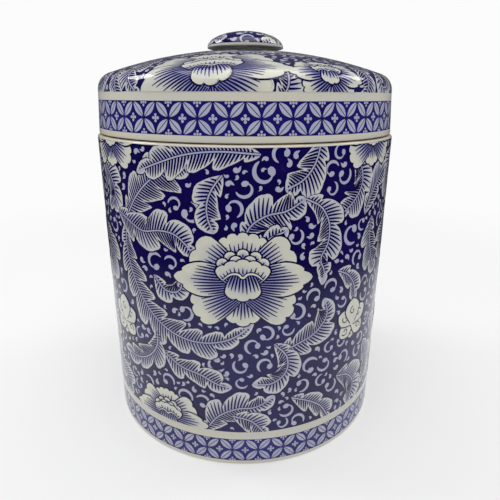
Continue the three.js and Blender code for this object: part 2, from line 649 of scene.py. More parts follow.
class LeafFrame:
    """Where a point of a leaf lies, given how far along the midrib and how far off it it is."""

    LOBE_LENGTH, ROWS_PER_LOBE = 12.0, 12
    SLANT, CURL = 0.4, 0.02
    # Shares of the leaf's length over which it widens and narrows, and its width where it starts.
    WIDENS, NARROWS, START = 0.22, 0.36, 0.12
    NOTCH, RIPPLES, RIPPLE = 0.4, 3, 0.07
    # The leaf's widest inside a bend, as a share of the bend's radius.
    IN_BEND = 0.8

    def __init__(self, points, width, chance):
        _, total = smooth_line(points)
        self.lobes = max(2, round(total / self.LOBE_LENGTH))
        self.count = self.lobes * self.ROWS_PER_LOBE
        self.places, self.total = smooth_line(points, self.count)
        self.ways = []
        for k in range(self.count + 1):
            ahead, behind = self.places[min(k + 2, self.count)], self.places[max(k - 2, 0)]
            self.ways.append((ahead - behind).normalized())
        self.uneven = [chance.uniform(0.82, 1.12) for _ in range(2 * self.lobes + 3)]
        self.edges = {side: [self.edge(k, side, width) for k in range(self.count + 1)]
                      for side in (-1, 1)}

    def edge(self, k, side, width):
        """Half the leaf's width on one side: lobes that swell towards the tip, then notch in."""
        t = k / self.count
        rise = self.START + (1 - self.START) * min(1, t / self.WIDENS) ** 0.7
        fall = min(1, (1 - t) / self.NARROWS) ** 0.68
        turn = t * self.lobes + (0.5 if side > 0 else 0)
        share = turn % 1.0
        lobe = math.sin(math.pi * share ** 1.4) ** 0.42 if share else 0.0
        lobe *= 1 - self.RIPPLE + self.RIPPLE * abs(math.sin(math.pi * self.RIPPLES * share))
        size = self.uneven[int(turn) + (self.lobes if side > 0 else 0)]
        half = width / 2 * rise * fall * size * (self.NOTCH + (1 - self.NOTCH) * lobe)
        low, high = max(k - 3, 0), min(k + 3, self.count)
        before, after = self.ways[low], self.ways[high]
        bend = (before.x * after.y - before.y * after.x) * self.count / self.total / (high - low)
        if bend * side > 0:
            half = min(half, self.IN_BEND / (bend * side))
        return half

    def at(self, k, side, off):
        """A place off the midrib. Rows lean towards the tip."""
        k = min(max(k, 0), self.count)
        low = min(int(k), self.count - 1)
        spot = self.places[low].lerp(self.places[low + 1], k - low)
        way = self.ways[low].lerp(self.ways[low + 1], k - low).normalized()
        return spot + left_of(way) * (side * off) + way * (self.SLANT * off + self.CURL * off * off)

    def half(self, k, side):
        low = min(int(k), self.count - 1)
        edge = self.edges[side]
        return edge[low] + (edge[low + 1] - edge[low]) * (k - low)


# The two lines of a leaf's midrib: half the space between them, and half a line's width.
RIB_SPACE, RIB_LINE = 0.5, 0.16
# How far short of a leaf's edge its veins stop, where they start, the length of their pieces, and
# half a vein's width as a share of the pitch.
MARGIN, VEIN_START, VEIN_PIECE, VEIN_SHARE = (0.7, 1.3), 0.45, 1.7, 0.3


def blunt(t):
    """A vein's width along its length, as a share of its widest."""
    return 1 - 0.65 * t ** 3


def leaf(design, points, width, layer):
    """A long leaf along a midrib from stem to tip, with lobed sides and slanting veins."""
    chance = design.chance
    frame_of = LeafFrame(points, width, chance)
    last = frame_of.count
    base = design.next_layer(layer)
    rows, strips = [], {-1: [], 1: []}
    for k in range(last + 1):
        row = []
        for side, shares in ((-1, (1, 0.66, 0.33)), (1, (0, 0.33, 0.66, 1))):
            reach = frame_of.half(k, side)
            for share in shares:
                row.append((*frame_of.at(k, side, reach * share), 1 - share))
            strips[side].append([(*frame_of.at(k, side, max(0, reach + past)), 0.0)
                                 for past in (-design.outline, design.outline)])
        rows.append(row)
    tip = frame_of.at(last, 1, 0) - frame_of.at(last - 1, 1, 0)
    cap = tip.normalized() * design.outline
    for strip in strips.values():
        strip.append([(x + cap.x, y + cap.y, wash) for x, y, wash in strip[-1]])
    design.body("leaf", rows, strips.values(), base, chance.random())

    for side in (-1, 1):
        places = [frame_of.at(k, side, RIB_SPACE) for k in range(0, round(last * 0.94), 3)]
        design.stroke(places, [RIB_LINE] * len(places), base)
    pitch = last * design.hatch / frame_of.total
    for side in (-1, 1):
        k = pitch * (0.6 if side > 0 else 1.1)
        while k < last * 0.95:
            reach = frame_of.half(k, side) - chance.uniform(*MARGIN)
            if reach > 1.0:
                steps = max(2, math.ceil(reach / VEIN_PIECE))
                spots = [frame_of.at(k, side, VEIN_START + (reach - VEIN_START) * j / steps)
                         for j in range(steps + 1)]
                design.stroke(spots, [design.hatch * VEIN_SHARE * blunt(j / steps)
                                      for j in range(steps + 1)], base)
            k += pitch * chance.uniform(0.92, 1.08)


def ribbon(design, points, halves, layer, step=0.8, kind="curl", outlined=False):
    """A plain stroke along a line. halves(t) gives half its width at the share t of its length."""
    base = design.next_layer(layer)
    places, _ = smooth_line(points, step=step)
    widths = [halves(k / (len(places) - 1)) for k in range(len(places))]
    strips = []
    if outlined:
        strips = [stroke_rows(places, [half + design.outline for half in widths], 2)]
    design.body(kind, stroke_rows(places, widths, 2), strips, base, design.chance.random())


# The layer of the curls and commas, under everything else.
SMALL_LAYER = 0.2


def scroll(design, x, y, size, start, hand):
    """A curl that thickens towards a round bulb at its inner end. Angles are in degrees."""
    steps, turns, closing = 14, 0.85, 0.66
    points = []
    for t in (k / steps for k in range(steps + 1)):
        angle = math.radians(start) + hand * t * math.tau * turns
        points.append(polar(x, y, size * (1 - closing * t), angle))
    stem, bulb = max(0.4, size * 0.15), size * 0.2

    def halves(t):
        swell = stem * (0.12 + math.sin(math.pi * min(t * 1.2, 1) ** 0.8) ** 0.7)
        ball = max(0.0, 1 - ((t - 0.9) / 0.1) ** 2) ** 0.5
        return max(swell, (stem * 0.7 + bulb) * ball, 0.06)

    ribbon(design, points, halves, SMALL_LAYER, step=max(0.45, size * 0.13))


def comma(design, x, y, size, heading, hand):
    """A drop with a bent tail, about its middle."""
    way, bent = math.radians(heading), math.radians(heading + 70 * hand)
    head = polar(x, y, -size * 0.35, way)
    knee = polar(*head, size * 0.5, way)
    tail = polar(*knee, size * 0.5, bent)

    def halves(t):
        return max(0.05, size * 0.27 * math.sin(math.pi * min(1, 0.1 + t * 1.5) ** 0.9 / 1.02)
                   if t < 0.3 else size * 0.27 * (1 - (t - 0.3) / 0.72) ** 0.8)

    ribbon(design, [head, knee, tail], halves, SMALL_LAYER, step=0.45)


def petal(design, x, y, heading, reach, spread, layer, scallops=3, tip=0.2, sharp=2.2, root=0.0,
          lines=None, vein_reach=0.74):
    """A fan-shaped petal with a scalloped edge and veins.

    tip is how much shorter its sides are than its middle, sharp how suddenly they shorten, and
    root half the width of its root.
    """
    chance = design.chance
    base = design.next_layer(layer)
    across = scallops * 6
    deep = max(3, math.ceil(reach / 2.2))
    bumps = [chance.uniform(0.94, 1.03) for _ in range(scallops)]

    def edge(s):
        u = (s + 1) / 2 * scallops
        wave = abs(math.sin(math.pi * u)) ** 0.5
        bump = bumps[min(int(u), scallops - 1)]
        return reach * (1 - tip * abs(s) ** sharp) * (0.92 + 0.08 * wave * bump)

    aside = left_of(Vector(polar(0, 0, 1, math.radians(heading))))

    def at(s, radius, r, push=0.0):
        angle = math.radians(heading + s * spread * (1.3 - 0.3 * r * r))
        return (x + radius * math.cos(angle) - push * math.sin(angle) + aside.x * root * s,
                y + radius * math.sin(angle) + push * math.cos(angle) + aside.y * root * s)

    shares = [i / deep for i in range(deep + 1)]
    turns = [2 * j / across - 1 for j in range(across + 1)]
    rows = [[(*at(s, edge(s) * r, r), 0.0 if lines == 0 else 1 - r) for s in turns] for r in shares]
    past, tucked = design.outline * 1.25, 0.94
    strip = []
    for s, r in [*((-1, r) for r in shares[:-1]), *((s, 1) for s in turns),
                 *((1, r) for r in shares[-2::-1])]:
        strip.append([(*at(s * 0.93, edge(s) * r * tucked, r), 0.0),
                      (*at(s, edge(s) * r + past * r, r, past * s), 0.0)])
    design.body("petal", rows, [strip], base, chance.random())

    if lines is None:
        lines = max(3, round(2 * (math.radians(spread) * reach * 0.55 + root) / design.hatch))
    for i in range(lines):
        s = (2 * (i + 0.5) / lines - 1) * 0.97
        end = 1 - (1 - vein_reach) * chance.uniform(0.75, 1.25)
        steps = max(3, math.ceil(reach * end / 2))
        spots, halves = [], []
        for j in range(steps + 1):
            t = j / steps
            r = 0.1 + (end - 0.1) * t
            spots.append(Vector(at(s, edge(s) * r, r)))
            room = (math.radians(spread) * edge(s) * r + root) / lines
            halves.append(min(room * 0.7, design.hatch * VEIN_SHARE * blunt(t)))
        design.stroke(spots, halves, base)


# A full flower's outer petals, back to front: root's place, heading, reach, spread, scallops, how
# much shorter its sides are, how suddenly, and half the width of its root.
PEONY_PETALS = [
    (0, -7, 270, 14.5, 32, 3, 0.24, 1.8, 2.5), (0, 4, 90, 17.0, 29, 5, 0.14, 2.4, 3.5),
    (-2, -6, 207, 22.5, 17, 3, 0.2, 2.6, 3.5), (2, -6, 333, 22.5, 17, 3, 0.2, 2.6, 3.5),
    (-3, 4, 152, 20.5, 18, 2, 0.12, 3.0, 3.2), (3, 4, 28, 20.5, 18, 2, 0.12, 3.0, 3.2),
    (-4, 0, 181, 27.0, 13, 3, 0.44, 1.4, 4.6), (4, 0, -1, 27.0, 13, 3, 0.44, 1.4, 4.6),
]
FRILL = [(-4.6, 10.0), (0, 11.0), (4.6, 10.0), (-7.6, 7.2), (-2.6, 8.2), (2.6, 8.2), (7.6, 7.2)]
# The flower's heart, drawn over the frill in the same way: the cup and its folded front.
HEART = [
    (0, -3, 90, 12.4, 50, 5, 0.1, 2.2, 3.6), (0, 3.2, 270, 12.6, 22, 3, 0.22, 2.2, 4.2),
]


# The layer that a flower starts on, over the leaves.
FLOWER_LAYER = 4


def peony(design, x, y, size, lean=0):
    """A full flower: eight outer petals, a frill, a cup and a folded front petal."""
    layer = FLOWER_LAYER

    def about(dx, dy):
        across, up = turned_about(dx, dy, lean)
        return x + size * across, y + size * up

    def ring(petals, layers):
        for level, (dx, dy, heading, reach, spread, scallops, tip, sharp, root) in zip(layers, petals):
            petal(design, *about(dx, dy), heading + lean, reach * size, spread, layer + level,
                  scallops, tip, sharp, root * size)

    ring(PEONY_PETALS, (0, 0, 1, 1, 2, 2, 3, 3))
    for k, (dx, dy) in enumerate(FRILL):
        petal(design, *about(dx, dy - 1.4), 90 - dx * 4 + lean, 4.2 * size, 50, layer + 4 + k // 3 % 2,
              1, 0.2, lines=3, vein_reach=0.5)
    ring(HEART, (6, 7))
    lip = [about(dx, dy) for dx, dy in ((-8.4, 0.2), (-5.4, 2.6), (-2.2, 2.9), (0, 1.2), (2.2, 2.9),
                                        (5.4, 2.6), (8.4, 0.2))]
    ribbon(design, lip, lambda t: size * (0.1 + 0.34 * math.sin(math.pi * t) ** 0.5), layer + 8,
           kind="petal", outlined=True)


# A small flower's petals: heading, reach and spread.
LOTUS_PETALS = [(270, 7, 26), (215, 8.5, 24), (325, 8.5, 24), (150, 9.5, 22), (32, 9.5, 22),
                (92, 10, 30)]


def lotus(design, x, y, size):
    """A small flower of curled cream petals, each with a dark spiral at its root."""
    for layer, (heading, reach, spread) in enumerate(LOTUS_PETALS, FLOWER_LAYER):
        petal(design, x, y, heading, reach * size, spread, layer, 1, 0.3, 1.4, 1.2 * size, lines=0)
        way = math.radians(heading)
        middle = polar(x, y, 5 * size, way)
        spiral = [Vector(polar(*middle, size * 1.9 * (1 - step / 10), way + step * 0.75))
                  for step in range(9)]
        design.stroke(spiral, [0.25 * size] * len(spiral), layer * design.STACK)


# Fillers, the largest first: the clear room each needs, its size, and what draws it.
FILLERS = [(4.6, 4.1, scroll), (3.7, 3.3, scroll), (2.7, 4.0, comma), (2.1, 3.2, comma),
           (1.8, 2.5, comma)]


def fill_gaps(design, low, high, tries, inside=lambda x, y: True):
    """Scatters curls and commas over the bare ground that is left, big ones first."""
    chance = design.chance
    for room, size, draw in FILLERS:
        for _ in range(tries):
            x, y = chance.uniform(low[0], high[0]), chance.uniform(low[1], high[1])
            turn, hand = chance.uniform(0, 360), chance.choice((-1, 1))
            if inside(x, y) and design.clear(x, y, room):
                draw(design, x, y, size, turn, hand)


def border_cell(period, low, high):
    """One repeat of the border: four split petals round a diamond, with crosses of dots."""
    sheet = Sheet()
    middle, rise, half = (low + high) / 2, (high - low) / 2, period / 2
    node_gap, split, bulge, dots = 0.8, 0.17, 1.42, 12
    gap, large, small = 1.12, 0.6, 0.5

    def split_petal(start, end):
        way = (end - start).normalized()
        start, end = start + way * node_gap, end - way * node_gap
        for hand in (-1, 1):
            rows = []
            for t in (k / 8 for k in range(9)):
                wide = split + 0.04 + bulge * math.sin(math.pi * t) ** 0.85
                rows.append([(*(start.lerp(end, t) + left_of(way) * hand * off), 0.0)
                             for off in (split, (split + wide) / 2, wide)])
            sheet.grid(rows, 0, 0.5)

    def dot(x, y, radius):
        sheet.grid([[(*polar(x, y, size, math.tau * j / dots), 0.0) for j in range(dots + 1)]
                    for size in (0.03, radius)], 0, 0.5)

    for side in (-1, 1):
        for up in (-1, 1):
            split_petal(Vector((side * half, middle)), Vector((0, middle + up * rise)))
    for dx, dy in ((0, 0), (gap, 0), (-gap, 0), (0, gap), (0, -gap)):
        dot(dx, middle + dy, large)
    for y, inward in ((low, 1), (high, -1)):
        for dx, dy in ((0, 1.7), (gap, 0.62), (-gap, 0.62), (0, 0.6)):
            dot(half + dx, y + inward * dy, small)
    return sheet


# ---------------------------------------------------------------- wrapping the print


def wrapping_tree():
    """Repeats a flat sheet of motifs, gives it a skin and lays it round a turned profile."""
    tree, graph, given, result = geometry_tree("Wrapped Print", {
        "Motifs": "Geometry", "Profile": "Object", "Centred": "Bool", "Wall radius": "Float",
        "Repeats": "Int", "Period": "Float", "Skin": "Float", "Weld": "Float", "Glaze": "Material",
    })
    row = graph.result("GeometryNodeMeshLine", {
        "Count": given["Repeats"], "Offset": graph.vector(given["Period"], 0.0, 0.0)})
    copies = graph.result("GeometryNodeInstanceOnPoints", {
        "Points": row, "Instance": given["Motifs"]})
    flat = graph.result("GeometryNodeRealizeInstances", {"Geometry": copies})
    raised = graph.result("GeometryNodeExtrudeMesh", {
        "Mesh": flat, "Offset Scale": given["Skin"], "Individual": False})
    joined = graph.node("GeometryNodeJoinGeometry", {"Geometry": raised})
    graph.feed(joined.inputs[0], graph.result("GeometryNodeFlipFaces", {"Mesh": flat}))
    closed = graph.result("GeometryNodeMergeByDistance", {
        "Geometry": joined.outputs[0], "Distance": given["Weld"]})

    curve = graph.node("GeometryNodeObjectInfo", {"Object": given["Profile"]}).outputs["Geometry"]
    spot = graph.split(graph.result("GeometryNodeInputPosition"))
    bearing = graph.math("ARCTAN2", spot["X"], graph.times(spot["Y"], -1.0))
    whole = graph.result("GeometryNodeCurveLength", {"Curve": curve})

    def either(flat_value, centred_value):
        return graph.result("GeometryNodeSwitch", {
            "Switch": given["Centred"], "False": flat_value, "True": centred_value,
        }, input_type="FLOAT")

    angle = either(graph.math("DIVIDE", spot["X"], given["Wall radius"]), bearing)
    travel = either(spot["Y"], graph.math("SUBTRACT", whole, graph.off_axis(spot)))
    sampled = graph.node("GeometryNodeSampleCurve", {"Curves": curve, "Length": travel},
                         mode="LENGTH").outputs
    on, way = graph.split(sampled["Position"]), graph.split(sampled["Tangent"])
    radius = graph.math("ADD", on["X"], graph.times(way["Z"], spot["Z"]))
    height = graph.math("SUBTRACT", on["Z"], graph.times(way["X"], spot["Z"]))
    facing = round_the_axis(graph, way["Z"], angle, graph.times(way["X"], -1.0))
    noted = graph.result("GeometryNodeStoreNamedAttribute", {
        "Geometry": closed, "Name": "glaze_normal", "Value": facing,
    }, domain="POINT", data_type="FLOAT_VECTOR")
    wrapped = graph.result("GeometryNodeSetPosition", {
        "Geometry": noted, "Position": round_the_axis(graph, radius, angle, height)})
    graph.feed(result, graph.result("GeometryNodeSetMaterial", {
        "Geometry": smoothed(graph, wrapped), "Material": given["Glaze"]}))
    return tree


def profile_curve(name, points):
    """A profile as a line of straight stretches in the upright plane, from its foot to its top."""
    line = bpy.data.curves.new(name, "CURVE")
    line.dimensions = "3D"
    spline = line.splines.new("POLY")
    spline.points.add(len(points) - 1)
    for point, (r, z) in zip(spline.points, points):
        point.co = (r, 0, z, 1)
    return piece_from(line, name)


def wrap(name, mesh, points, glaze, centred=False, wall_radius=1.0, repeats=1, period=0.0):
    """Lays a flat mesh of motifs on the piece with that profile."""
    _, pattern, _ = settings()
    profile = profile_curve(name + "_profile", points)
    tree = bpy.data.node_groups.get("Wrapped Print") or wrapping_tree()
    piece = grown(name, piece_from(mesh, name + "_flat"), tree, {
        "Profile": profile, "Centred": centred, "Wall radius": wall_radius, "Repeats": repeats,
        "Period": period, "Skin": pattern.layer_skin, "Weld": 1e-8, "Glaze": glaze,
    })
    bpy.data.objects.remove(profile)
    return piece


# ---------------------------------------------------------------- glazes


GLOSS, GLOSS_CHANGE = 0.07, 0.05
GLAZE_SPECULAR = 0.42
MATT = 0.8
# Soft noise in the finishes: its scale, its detail and, where it isn't even, its roughness.
WAVES, GRAIN, SHEEN = (38.0, 1.0), (900.0, 2.0), (22.0, 4.0)
WARM_PATCHES, SPECKS = (30.0, 4.0), (520.0, 1.0)
CLAY_PATCHES, CLAY_GRAIN = (160.0, 5.0), (1400.0, 4.0)
POOLS, PINPRICKS = (45.0, 5.0), (240.0, 4.0, 0.7)
PRINT_CLOUDS, PAPER_CLOUDS = (90.0, 4.0), (6.0, 3.0)
# How strongly the wash shows at a motif's root.
LEAF_WASH, PETAL_WASH = 0.4, 0.85


def ceramic(name, paint, *looks, roughness=GLOSS):
    """The material of that name, made once. paint(graph, shader, *looks) colours it."""
    material = bpy.data.materials.get(name)
    if not material:
        material = bpy.data.materials.new(name)
        material.use_nodes = True
        shader = material.node_tree.nodes["Principled BSDF"]
        shader.inputs["Roughness"].default_value = roughness
        shader.inputs["Specular IOR Level"].default_value = GLAZE_SPECULAR
        paint(Graph(material.node_tree), shader, *looks)
    return material


def object_place(graph):
    return graph.node("ShaderNodeTexCoord").outputs["Object"]


def cloud(graph, scale, detail, roughness=0.55):
    """Soft noise from 0 to 1 over the piece."""
    return graph.result("ShaderNodeTexNoise", {
        "Vector": object_place(graph), "Scale": scale, "Detail": detail, "Roughness": roughness})


def clouded(graph, noise, low, high, first, second):
    """One colour with soft patches of another, where the noise is high."""
    return graph.blend(graph.step(cloud(graph, *noise), low, high), first, second)


def tinted(colour, *shares):
    return tuple(part * share for part, share in zip(colour, shares))


def attribute(graph, name, output="Fac"):
    return graph.node("ShaderNodeAttribute", attribute_name=name).outputs[output]


def bump(graph, shader, **values):
    node = graph.node("ShaderNodeBump", values)
    graph.feed(shader.inputs["Normal"], node.outputs[0])
    return node


def glaze_surface(graph, shader, follow=False):
    """The glaze's slow waves and fine grain, and the way its gloss changes over the piece."""
    grain = graph.times(cloud(graph, *GRAIN), 0.012)
    height = graph.math("ADD", cloud(graph, *WAVES), grain)
    rise = bump(graph, shader, Strength=0.16, Distance=0.6 * MM, Height=height)
    if follow:
        graph.feed(rise.inputs["Normal"], attribute(graph, "glaze_normal", "Vector"))
    gloss = graph.step(cloud(graph, *SHEEN), 0.3, 0.75)
    graph.feed(shader.inputs["Roughness"],
               graph.math("MULTIPLY_ADD", gloss, GLOSS_CHANGE, GLOSS - 0.4 * GLOSS_CHANGE))


def white_glaze(graph, shader, warm):
    """White glaze, warmer and cooler in patches, with a few dark specks of iron."""
    tint = clouded(graph, WARM_PATCHES, 0.35, 0.7, warm, tinted(warm, 0.93, 0.96, 1.04))
    tint = clouded(graph, SPECKS, 0.79, 0.83, tint, tinted(warm, 0.6, 0.56, 0.5))
    graph.feed(shader.inputs["Base Color"], tint)
    glaze_surface(graph, shader)


def bare_clay(graph, shader, clay):
    mottled = clouded(graph, CLAY_PATCHES, 0.4, 0.7, clay, tinted(clay, 0.72, 0.7, 0.66))
    graph.feed(shader.inputs["Base Color"], mottled)
    bump(graph, shader, Strength=0.4, Distance=0.3 * MM, Height=cloud(graph, *CLAY_GRAIN))


def cobalt_ground(graph, shader, base, follow):
    """Cobalt laid by a transfer: even, with faint pooling and tiny lighter pinpricks."""
    pooled = tuple(c * 0.62 for c in base)
    thin = (base[0] * 2.2 + 0.006, base[1] * 2.2 + 0.006, base[2] * 1.55)
    ground = clouded(graph, POOLS, 0.3, 0.72, pooled, base)
    ground = clouded(graph, PINPRICKS, 0.56, 0.8, ground, thin)
    graph.feed(shader.inputs["Base Color"], ground)
    glaze_surface(graph, shader, follow)


def pale_print(graph, shader, pale, wash_colour, wash):
    """Ground that shows pale between the cobalt lines, washed with blue towards a motif's root."""
    cloudy = tinted(pale, 0.87, 0.89, 0.96)
    ground = clouded(graph, PRINT_CLOUDS, 0.35, 0.7, pale, cloudy)
    ground = graph.blend(graph.times(attribute(graph, "tone"), 0.22), ground, cloudy)
    root = graph.step(attribute(graph, "wash"), 0.1, 0.75)
    ground = graph.blend(graph.times(root, wash), ground, wash_colour)
    graph.feed(shader.inputs["Base Color"], ground)
    glaze_surface(graph, shader, follow=True)


def glaze_set(colours):
    return {
        "white": ceramic("white_glaze", white_glaze, colours.glaze),
        "clay": ceramic("bare_clay", bare_clay, colours.clay, roughness=MATT),
        "field": ceramic("field_cobalt", cobalt_ground, colours.field, False),
        "border": ceramic("border_cobalt", cobalt_ground, colours.border, False),
    }


def print_set(colours):
    line = ceramic("line_cobalt", cobalt_ground, colours.line, True)
    prints = {"outline": line, "line": line}
    for kind, pale, wash in (("leaf", colours.leaf, LEAF_WASH), ("petal", colours.petal, PETAL_WASH),
                             ("curl", colours.lattice, 0.0), ("lattice", colours.lattice, 0.0)):
        prints[kind] = ceramic(kind + "_print", pale_print, pale, colours.wash, wash)
    return prints


# ---------------------------------------------------------------- the designs

# Leaves on the unrolled wall: width, layer, and the midrib's points from stem to tip, across from
# the front and up from the foot, in millimetres.
WALL_LEAVES = [
    (17, 2, [(6, 150), (-10, 151), (-24, 149.5), (-37, 145.5), (-49, 141)]),
    (20, 1, [(-58, 121), (-51, 130), (-42, 138), (-32, 143), (-21, 145)]),
    (17, 3, [(-66, 122), (-57, 118.5), (-48, 115.5), (-39, 117), (-31, 116.5), (-25, 112), (-21, 107)]),
    (18, 2, [(-59, 119), (-61, 108), (-59, 97), (-54, 86), (-46, 76.5), (-36, 70), (-24, 67),
             (-12, 68), (-3, 72), (4, 79)]),
    (15, 1, [(-9, 142), (-13, 137), (-15.5, 131), (-15.5, 125), (-13, 118)]),
    (16, 2, [(-1, 116), (2.5, 122), (9, 126), (17, 127.5), (25, 132)]),
    (16, 1, [(31, 156), (29, 147), (24, 140), (16, 136)]),
    (15, 3, [(25, 132), (32.5, 128), (37, 120.5), (37, 112), (33.5, 105), (36, 99), (35, 92.5)]),
    (16, 2, [(47, 149), (53.5, 144), (56, 136), (51, 128.5), (42, 122.5)]),
    (15, 2, [(60, 121), (65, 130), (72, 137), (80, 142)]),
    (18, 1, [(67, 119), (67, 109), (71, 98), (78, 90)]),
    (12, 2, [(44, 97.5), (51, 94), (56.5, 87), (57, 78)]),
    (16, 2, [(15, 62), (24, 65.5), (33, 69.5), (39, 77), (37, 86)]),
    (15, 3, [(13, 67), (19, 60), (19, 52), (12.5, 46.5), (3, 46.5)]),
    (14, 1, [(-40, 58), (-31, 52.5), (-21, 50), (-13, 46), (-6, 44.5)]),
    (15, 2, [(-43, 68), (-44.5, 59), (-51, 51.5), (-61, 47.5), (-73, 48)]),
    (16, 1, [(-20, 18), (-13, 28), (-4, 33), (5, 34), (14, 39.5)]),
    (13, 2, [(-6, 29), (3, 26), (10, 18)]),
    (12, 2, [(22, 37), (31, 33), (39, 27), (45, 17)]),
    (18, 1, [(48, 41), (57, 38), (63, 30), (59, 19)]),
    (11, 1, [(-43, 96), (-37, 90), (-30, 90.5), (-27, 97)]),
    (9, 3, [(5, 112), (10.5, 116.5), (18, 119.5)]),
    (16, 1, [(-82, 143), (-73, 138), (-68, 129), (-76, 121)]),
    (17, 2, [(-86, 112), (-80, 103), (-79, 93), (-86, 84)]),
    (15, 1, [(-104, 148), (-96, 141), (-93, 131), (-99, 122)]),
    (15, 2, [(-88, 40), (-80, 34), (-72, 27), (-70, 19)]),
    (16, 1, [(-96, 62), (-88, 56), (-86, 47), (-94, 40)]),
    (15, 1, [(76, 62), (84, 57), (88, 48), (83, 39)]),
    (15, 2, [(70, 52), (76, 44), (78, 34), (72, 25)]),
    (16, 2, [(92, 149), (86, 141), (87, 131), (95, 124)]),
    (16, 1, [(97, 121), (90, 112), (84, 103), (86, 93)]),
    (15, 2, [(92, 20), (99, 30), (109, 35), (118, 33)]),
    (14, 2, [(-118, 52), (-109, 57), (-103, 66), (-107, 75)]),
    (14, 1, [(92, 82), (96, 73), (104, 67), (113, 67)]),
]
# Flowers on the wall: across, up, size.
WALL_PEONIES = [(-1, 98, 1.0), (-40, 22, 0.72), (-68, 157, 0.72), (62, 158, 0.72), (119.4, 97, 1.0)]
WALL_LOTUSES = [(-69, 66, 1.25), (57, 68, 1.25), (100, 52, 0.9), (-102, 104, 0.9)]
# Larger curls: across, up, size, starting angle and hand.
WALL_CURLS = [
    (8, 143, 5.2, 120, 1), (0, 137, 4.0, 200, 1), (-23, 126, 5.0, 80, -1), (-42, 102, 4.8, 40, 1),
    (-33, 103, 3.6, 160, -1), (21, 116, 3.8, 60, -1), (51, 114, 5.4, 300, -1), (36.5, 143, 3.8, 20, 1),
    (23, 81, 4.6, 100, -1), (-13.5, 57, 4.6, 330, -1), (31, 52, 4.8, 30, 1), (-30, 36, 4.6, 340, 1),
    (-20, 35, 4.0, 150, -1), (20, 31, 4.2, 210, 1), (-56, 62, 3.6, 90, 1), (-27, 81, 4.2, 250, 1),
    (43, 104, 3.4, 10, 1), (49, 60, 3.4, 40, -1), (-52, 36, 4.0, 120, -1), (38, 42, 3.6, 80, 1),
]

# The lid's print is drawn as a flat disc seen from above, front towards -y, in millimetres.
# The group is repeated evenly round the lid.
LID_TURNS = (0, 120, 240)
# Flowers on the lid: across, up, size and lean. Leaves and curls are listed as on the wall.
LID_PEONIES = [(-13, -67, 1.05, 0), (33, -64, 0.56, 20)]
LID_LEAVES = [
    (14, 1, [(-36, -40), (-44, -48), (-49, -57), (-47, -68)]),
    (13, 2, [(-52, -44), (-58, -52), (-60, -61), (-54, -72)]),
    (14, 1, [(44, -46), (51, -52), (55, -60), (53, -70)]),
    (13, 1, [(-30, -28), (-22, -34), (-12, -35), (-3, -31)]),
    (13, 2, [(6, -28), (14, -34), (24, -36), (33, -32)]),
    (12, 1, [(14, -84), (17, -77), (16, -70), (12, -64)]),
    (11, 2, [(56, -40), (62, -46), (66, -40), (64, -30)]),
    (11, 1, [(-20, -18), (-12, -22), (-4, -21), (2, -17)]),
]
LID_CURLS = [(50, -78, 4.2, 60, 1), (62, -62, 4.6, 200, -1), (-64, -70, 4.0, 20, 1),
             (18, -52, 3.4, 300, 1), (-36, -78, 3.8, 120, -1), (40, -40, 3.8, 40, 1)]
KNOB_LEAVES = [(9, 1, [(-17, -1), (-16, -6), (-13.5, -11), (-9.5, -15.5)])]
KNOB_CURLS = [(-2.8, -11.6, 5, 165, -1), (6.4, -11.8, 3.5, 165, -1), (3.2, -2.6, 2.2, 20, 1)]
# The knob's petal: its root's place, heading, reach and spread.
KNOB_PETAL = (14.5, -19, 118, 7, 46)


def leaves_and_curls(design, leaves, curls, moved, turn=0):
    """Draws the leaves and the larger curls of a list where moved(x, y) puts them."""
    for width, layer, points in leaves:
        leaf(design, [moved(*point) for point in points], width, layer)
    for x, y, size, start, hand in curls:
        scroll(design, *moved(x, y), size, start + turn, hand)


# The longest face, in millimetres, that still follows each piece's curve, and how much shorter
# a line's faces are on the lid and the knob.
WALL_FACE, DOME_FACE, SHOULDER_FACE, KNOB_FACE = 1.5, 2.0, 0.8, 0.6
LINE_SHARE = 0.65
# How many places are tried for each size of filler.
FIELD_TRIES, KNOB_TRIES = 9000, 250
# How far the fillers' middles stay from the field's edge.
CLEAR_EDGE = 1.5
# What is added to the seed for the lid and for the knob.
LID_SEED, KNOB_SEED = 20, 40


def wall_design(pattern, offset, seed):
    """Half the wall's design, drawn about a place that far round from the front."""
    design = Design(pattern, seed, lambda x, y: WALL_FACE)
    for x, y, size in WALL_PEONIES:
        peony(design, x + offset, y, size)
    for x, y, size in WALL_LOTUSES:
        lotus(design, x + offset, y, size)
    leaves_and_curls(design, WALL_LEAVES, WALL_CURLS, lambda x, y: (x + offset, y))
    half = math.pi * BODY_HIGH.x / MM / 2
    low, high = pattern.field_low / MM, (BODY_HIGH.z - pattern.rim_line) / MM
    fill_gaps(design, (offset - half, low + CLEAR_EDGE), (offset + half, high - CLEAR_EDGE),
              FIELD_TRIES)
    return design


def lid_design(pattern, reach, shoulder, bare, seed):
    """The lid's design, out to reach. Its faces are shorter on the shoulder, which bends more."""
    def longest(x, y):
        return DOME_FACE if math.hypot(x, y) < reach - shoulder else SHOULDER_FACE

    design = Design(pattern, seed, longest, LINE_SHARE)
    for turn in LID_TURNS:
        for x, y, size, lean in LID_PEONIES:
            peony(design, *turned_about(x, y, turn), size, lean + turn)
        leaves_and_curls(design, LID_LEAVES, LID_CURLS,
                         lambda x, y: turned_about(x, y, turn), turn)
    fill_gaps(design, (-reach, -reach), (reach, reach), FIELD_TRIES,
              lambda x, y: bare < math.hypot(x, y) < reach - CLEAR_EDGE)
    return design


